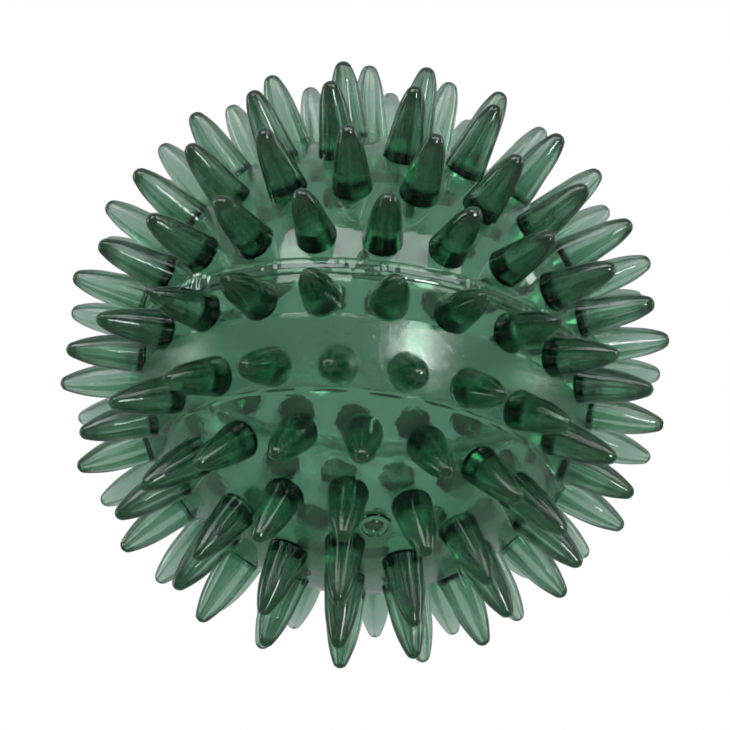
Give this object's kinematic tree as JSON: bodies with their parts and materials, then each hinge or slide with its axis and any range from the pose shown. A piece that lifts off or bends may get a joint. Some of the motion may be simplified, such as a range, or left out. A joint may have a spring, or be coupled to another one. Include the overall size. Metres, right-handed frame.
{
  "type": "spiked massage ball",
  "caption": "Hollow translucent green massage ball, welded round the middle and covered in rings of soft spikes, pointed on one half and rounded on the other",
  "frame": {"origin": "centre of the ball, in the plane of the weld", "axes": "+Z to the pole of the half with pointed spikes, XY is the plane of the weld, +X is an arbitrary direction in that plane"},
  "size_m": [0.089, 0.089, 0.09],
  "materials": {
    "clear_pvc": "clear soft PVC tinted bottle green, glossy, with a finely textured belt beside the weld"
  },
  "bodies": {
    "root": {"pointed_half_shell": "clear_pvc", "pointed_spikes_ring_1": "clear_pvc", "pointed_spikes_ring_2": "clear_pvc", "pointed_spikes_ring_3": "clear_pvc", "pointed_spikes_ring_4": "clear_pvc", "pointed_spikes_ring_5": "clear_pvc", "pointed_pole_spike": "clear_pvc", "rounded_half_shell": "clear_pvc", "rounded_spikes_ring_1": "clear_pvc", "rounded_spikes_ring_2": "clear_pvc", "rounded_spikes_ring_3": "clear_pvc", "rounded_spikes_ring_4": "clear_pvc", "rounded_spikes_ring_5": "clear_pvc", "rounded_pole_spike": "clear_pvc", "weld_ring": "clear_pvc", "filler_disc": "clear_pvc"}
  },
  "joints": []
}
